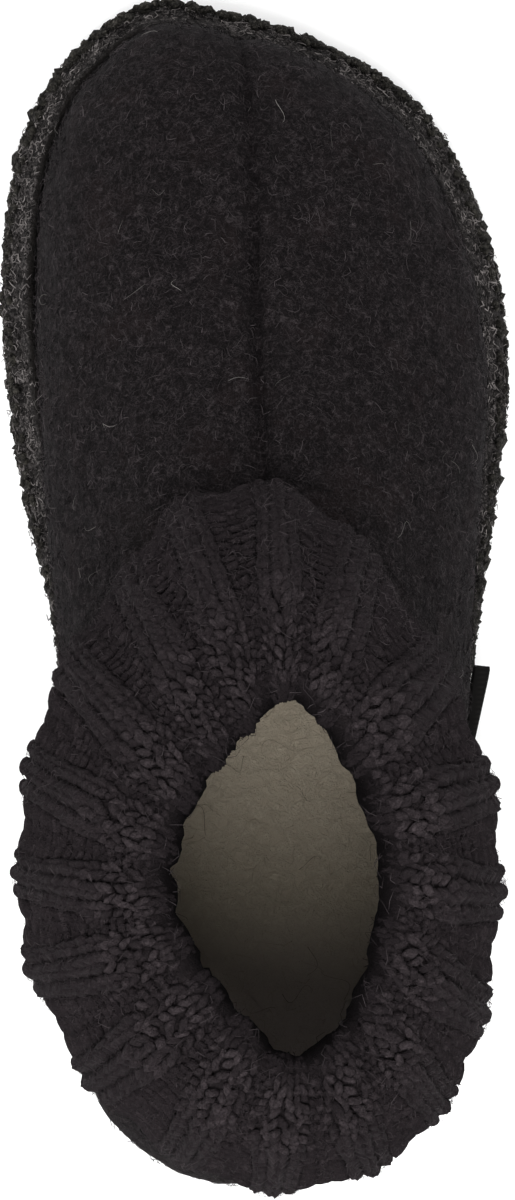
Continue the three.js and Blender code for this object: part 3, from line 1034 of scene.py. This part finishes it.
def cast_off():
    """The rounded loops that close the leaf's lower edge."""
    row, column, width = wales(purl=False)
    lowest = row < np.sort(row)[ribs * len(WALE_STEPS)]
    column = column[lowest]
    width = width[lowest]
    count = len(column)
    places = frame_on(cuff_rows, RANDOM.normal(*EDGE_LOOP_ROW, count), column)
    t = np.linspace(-0.5, 0.5, len(EDGE_LOOP_SHAPE))
    across = t * width[:, None] * RANDOM.normal(*EDGE_LOOP_BREADTH, (count, 1))
    slant = t * RANDOM.normal(0, EDGE_LOOP_SLANT, (count, 1))
    crown = EDGE_LOOP_CROWN * (1 - 4 * t**2)
    lift = STITCH_LEVEL + EDGE_LOOP_RISE + crown + np.zeros(slant.shape)
    paths = laid(places, across, slant, lift)
    radii = EDGE_LOOP * EDGE_LOOP_SHAPE * RANDOM.uniform(*EDGE_LOOP_GIRTHS, (count, 1))
    tones = stitch_tones(row[lowest], places[0], t)
    return tubes("cast_off_edge", paths, radii, places[3], EDGE_LOOP_SIDES, tones)


show("knit_stitches", knit_stitches(), CUFF_YARN)
show("purl_stitches", purl_stitches(), CUFF_YARN)
show("cast_off_edge", cast_off(), CUFF_YARN)


def cuff_outside(points, normals):
    """Where the knit has fuzz, thicker in front and thin on the lip of the mouth."""
    shown = (normals[:, 2] > FUZZ_FACING) | (points[:, 2] > FUZZ_LIP)
    thick = FUZZ_AT_BACK + FUZZ_MORE_IN_FRONT * eased(points[:, 1], *FUZZ_FRONT)
    off_lip = 1 - FUZZ_LESS_ON_LIP * backing_inside(points, normals)
    return clear_of((felt_tree,), points, normals, FUZZ_ROOM) * shown * thick * off_lip


show("knit_fuzz", fleece("knit_fuzz", backing_mesh, cuff_outside, **FUZZ), CUFF_FUZZ)

# Band round the sole: looped wool with a bead along its top edge
band_rows = rows_of("sole_band")
band_mesh = rounded("sole_band")


def band_relief(points, normals):
    return BAND_LEVEL + clouds(points, BAND_LUMPS)


def lean_in(mesh):
    """Tilts the band's top edge in against the tucked felt."""
    points = points_of(mesh)
    spine = np.column_stack([np.zeros(len(points)), np.clip(points[:, 1], *BAND_SPINE)])
    inward = unit(spine - points[:, :2])
    points[:, :2] += inward * (BAND_LEAN * eased(points[:, 2], *BAND_TOP))[:, None]
    mesh.vertices.foreach_set("co", points.ravel())
    mesh.update()


def off_groove_shade(points):
    """0 on the band beside the felt, where the groove between them is painted in shade, rising to 1 away
    from it.
    """
    gaps = np.array([felt_tree.find_nearest(Vector(point))[3] for point in points])
    return eased(gaps, *BAND_GROOVE_SHADE)


lean_in(band_mesh)
swell(band_mesh, band_relief)
# Painted shade in the groove beside the felt
give_tones(band_mesh, off_groove_shade(points_of(band_mesh)))
show("looped_band", band_mesh, BAND_WOOL, "sole_band")


def band_outside(points, normals):
    """Where the band has loose loops: on its upper face, off the groove."""
    upper_face = normals[:, 2] > LOOP_FACING
    return clear_of((felt_tree,), points, normals, LOOP_ROOM) * upper_face * off_groove_shade(points)


show("band_loops", fleece("band_loops", band_mesh, band_outside, **LOOPS), BAND_LOOPS)


# Outsole: a pebbled tread, and knobs along its edge and on the foot of the band
def tread_relief(points, normals):
    pebbles = clouds(points, TREAD_PEBBLES)
    pits = np.minimum(pebbles, 0) * TREAD_PITS
    underneath = normals[:, 2] < TREAD_FACING
    return np.where(underneath, pits + TREAD_LEVEL, pebbles + SOLE_SIDE_LEVEL)


outsole_mesh = even("outsole", OUTSOLE_SQUARE)
swell(outsole_mesh, tread_relief)
show("knobbly_outsole", outsole_mesh, SOLE_RUBBER, "outsole")


def knob_ring(grid, level, pitch, size):
    """Paths, radii and outward hints of rounded knobs in a ring."""
    ring = on_rows(grid, np.full(grid.shape[1], level), np.arange(grid.shape[1], dtype=float))
    girth = np.linalg.norm(ring - np.roll(ring, 1, axis=0), axis=1).sum()
    count = int(girth / pitch)
    steps = np.linalg.norm(np.diff(ring, axis=0, append=ring[:1]), axis=1)
    run = np.concatenate([[0], np.cumsum(steps)])
    place = (np.arange(count) + RANDOM.uniform(-KNOB_STRAY, KNOB_STRAY, count)) * girth / count
    column = np.interp(place % girth, run, np.arange(len(run)))
    level = level + RANDOM.normal(0, KNOB_ROW_STRAY, count)
    point, around, upward, outward = frame_on(grid, level, column)
    radius = size * RANDOM.uniform(*KNOB_SIZES, count)
    middle = point - outward * radius[:, None] * RANDOM.uniform(*KNOB_SUNK, (count, 1))
    slant = unit(around + upward * RANDOM.normal(0, KNOB_SLANT, (count, 1)))
    t = np.linspace(-0.5, 0.5, len(KNOB_SHAPE))
    paths = middle[:, None, :] + slant[:, None, :] * (t * KNOB_LENGTH * radius[:, None])[:, :, None]
    paths += RANDOM.normal(0, KNOB_WAVER, paths.shape) * radius[:, None, None]
    lumps = KNOB_SHAPE * RANDOM.uniform(*KNOB_GIRTHS, (count, len(KNOB_SHAPE)))
    return paths, radius[:, None] * lumps, outward


def edge_knobs():
    """Knobs round the sole's edge and the foot of the band."""
    widest = band_rows[1]
    ahead = unit(np.roll(widest, -1, axis=0) - np.roll(widest, 1, axis=0))
    outward = unit(np.cross(ahead, (0, 0, 1)))
    floor_gap = band_rows[0, :, 2] - BAND_LIFT
    edge_rows = np.stack([widest + outward * out * MM for out, _ in EDGE_SIDE])
    for row, (_, up) in zip(edge_rows, EDGE_SIDE):
        row[:, 2] = floor_gap + up * MM
    rings = [knob_ring(edge_rows, *ring) for ring in EDGE_RINGS]
    rings += [knob_ring(band_rows, *ring) for ring in BAND_RINGS]
    paths, radii, hints = (np.concatenate(parts) for parts in zip(*rings))
    return tubes("edge_knobs", paths, radii, hints, KNOB_SIDES, np.ones(radii.shape))


show("edge_knobs", edge_knobs(), SOLE_EDGE)

# Insole: pale felt with a few dark hairs
insole_mesh = even("insole", INSOLE_SQUARE)


def insole_relief(points, normals):
    return clouds(points, INSOLE_LUMPS)


def insole_top(points, normals):
    return normals[:, 2] > INSOLE_FACING


swell(insole_mesh, insole_relief)
# Painted light: tone falls to 0 towards the shaded heel, where the finish makes the felt paler and greyer
give_tones(insole_mesh, eased(points_of(insole_mesh)[:, 1], *INSOLE_HEEL_LIGHT))
show("felt_insole", insole_mesh, INSOLE_FELT, "insole")
insole_nap = fleece("insole_nap", insole_mesh, insole_top, **INSOLE_NAP)
show("insole_nap", insole_nap, INSOLE_STRANDS)
insole_hairs = fleece("insole_hairs", insole_mesh, insole_top, **INSOLE_HAIRS)
show("insole_hairs", insole_hairs, INSOLE_DARK_HAIR)


# Side tab: a woven ribbon folded into a loop, its raw ends in the seam
def along_skew(part):
    """A number that puts corners, edges or faces in the same order each run."""
    corners = [part] if isinstance(part, bmesh.types.BMVert) else part.verts
    return sum(corner.co.dot(SKEW) for corner in corners) / len(corners)


def folded_ribbon():
    corners = points_of(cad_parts["side_tab"].data)
    centre = corners.mean(axis=0)
    axes = np.linalg.svd(corners - centre)[2]
    along, out, thick = (Vector(axis) for axis in axes)
    if out.x < 0:
        out.negate()
    if along.y < 0:
        along.negate()
    length, depth, height = (np.ptp((corners - centre) @ np.array(axis)) for axis in (along, out, thick))
    layer = TAB_LAYER * height
    heel_end = Vector(centre) - along * (length / 2)
    seam_side = heel_end - out * (depth / 2)
    section = [heel_end + out * (a * (depth - layer)) + thick * (b * (height - layer)) for a, b in TAB_FOLD]
    ribbon = bmesh.new()
    toe_side = [ribbon.verts.new(place + along * length) for place in section]
    slanted = [place - out * ((place - seam_side).dot(out) * TAB_SLANT) for place in section]
    heel_side = [ribbon.verts.new(place) for place in slanted]
    for corners_met in zip(heel_side, heel_side[1:], toe_side[1:], toe_side):
        ribbon.faces.new(corners_met)
    bmesh.ops.subdivide_edges(ribbon, edges=ribbon.edges, cuts=3, use_grid_fill=True)
    bmesh.ops.recalc_face_normals(ribbon, faces=ribbon.faces)
    bmesh.ops.solidify(ribbon, geom=ribbon.faces, thickness=layer)
    bmesh.ops.recalc_face_normals(ribbon, faces=ribbon.faces)
    for parts in (ribbon.verts, ribbon.edges, ribbon.faces):
        parts.sort(key=along_skew)
    return with_modifier(ribbon, "SUBSURF", levels=1, render_levels=1)


show("ribbon_tab", folded_ribbon(), TAB_RIBBON, "side_tab")

# Floor, light and camera
floor_shape = bmesh.new()
bmesh.ops.create_grid(floor_shape, x_segments=1, y_segments=1, size=FLOOR_HALF)
floor_mesh = bpy.data.meshes.new("floor")
floor_shape.to_mesh(floor_mesh)
floor_shape.free()
floor_mesh.materials.append(FLOOR_PAINT)
floor = bpy.data.objects.new("floor", floor_mesh)
bpy.context.scene.collection.objects.link(floor)


def soft_light(name, place, target, size, power):
    lamp = bpy.data.lights.new(name, "AREA")
    lamp.shape = "DISK"
    lamp.size = size
    lamp.energy = power
    light = bpy.data.objects.new(name, lamp)
    light.location = place
    light.rotation_euler = (Vector(target) - Vector(place)).to_track_quat("-Z", "Y").to_euler()
    bpy.context.scene.collection.objects.link(light)


for name, (place, target, size, power) in LIGHTS.items():
    soft_light(name, place, target, size, power)

world = bpy.data.worlds.new("studio")
world.use_nodes = True
sky = world.node_tree.nodes["Background"]
sky.inputs["Color"].default_value = colour(1.0, 1.0, 1.0)
sky.inputs["Strength"].default_value = SKY_STRENGTH
bpy.context.scene.world = world
bpy.context.scene.view_settings.view_transform = "Standard"

lens = bpy.data.cameras.new("camera")
lens.lens = CAMERA_LENS
lens.sensor_width = CAMERA_SENSOR
lens.clip_start = CAMERA_NEAREST
camera = bpy.data.objects.new("camera", lens)
camera.location = CAMERA_PLACE
bpy.context.scene.collection.objects.link(camera)
bpy.context.scene.camera = camera
